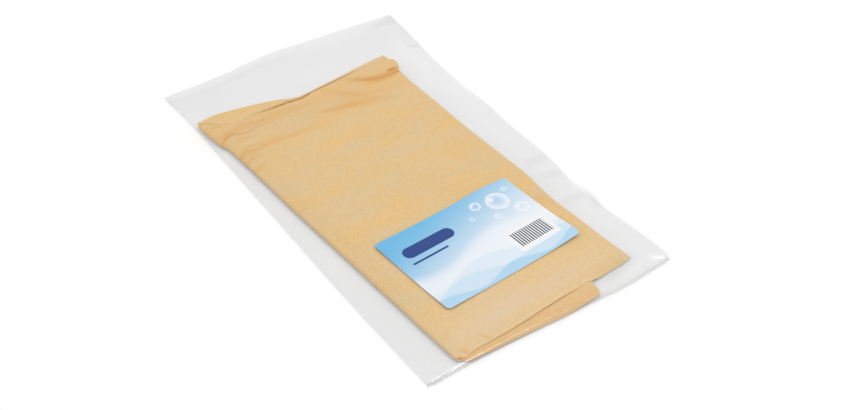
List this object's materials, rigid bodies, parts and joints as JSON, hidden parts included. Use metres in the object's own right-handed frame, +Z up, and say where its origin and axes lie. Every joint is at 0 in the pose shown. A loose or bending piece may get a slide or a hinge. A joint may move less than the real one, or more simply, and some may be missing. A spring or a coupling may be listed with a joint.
{
  "type": "chamois leather in a clear bag",
  "caption": "Folded chamois leather for washing and drying windows, lying in a clear flat bag with an open end and a plain paper label; the leather slides out of the bag.",
  "frame": {"origin": "middle of the bag's outline, on the surface that the bag lies on", "axes": "+Z up out of the label's face, +Y along the bag towards its open mouth, +X to the right of someone reading the label"},
  "size_m": [0.1626, 0.2892, 0.0058],
  "materials": {
    "chamois": "matte",
    "clear_film": "gloss",
    "label_paper": "satin",
    "label_glue": "satin"
  },
  "bodies": {
    "bag": {"bag_front_film": "clear_film", "bag_back_film": "clear_film", "bag_bottom_fold": "clear_film", "bag_left_seal": "clear_film", "bag_right_seal": "clear_film", "label_face": "label_paper", "label_adhesive": "label_glue"},
    "skin": {"chamois_skin": "chamois"}
  },
  "joints": [
    {"name": "skin_draw", "type": "slide", "parent": "bag", "child": "skin", "axis": [0, 1, 0], "range_m": [0, 0.29]}
  ]
}
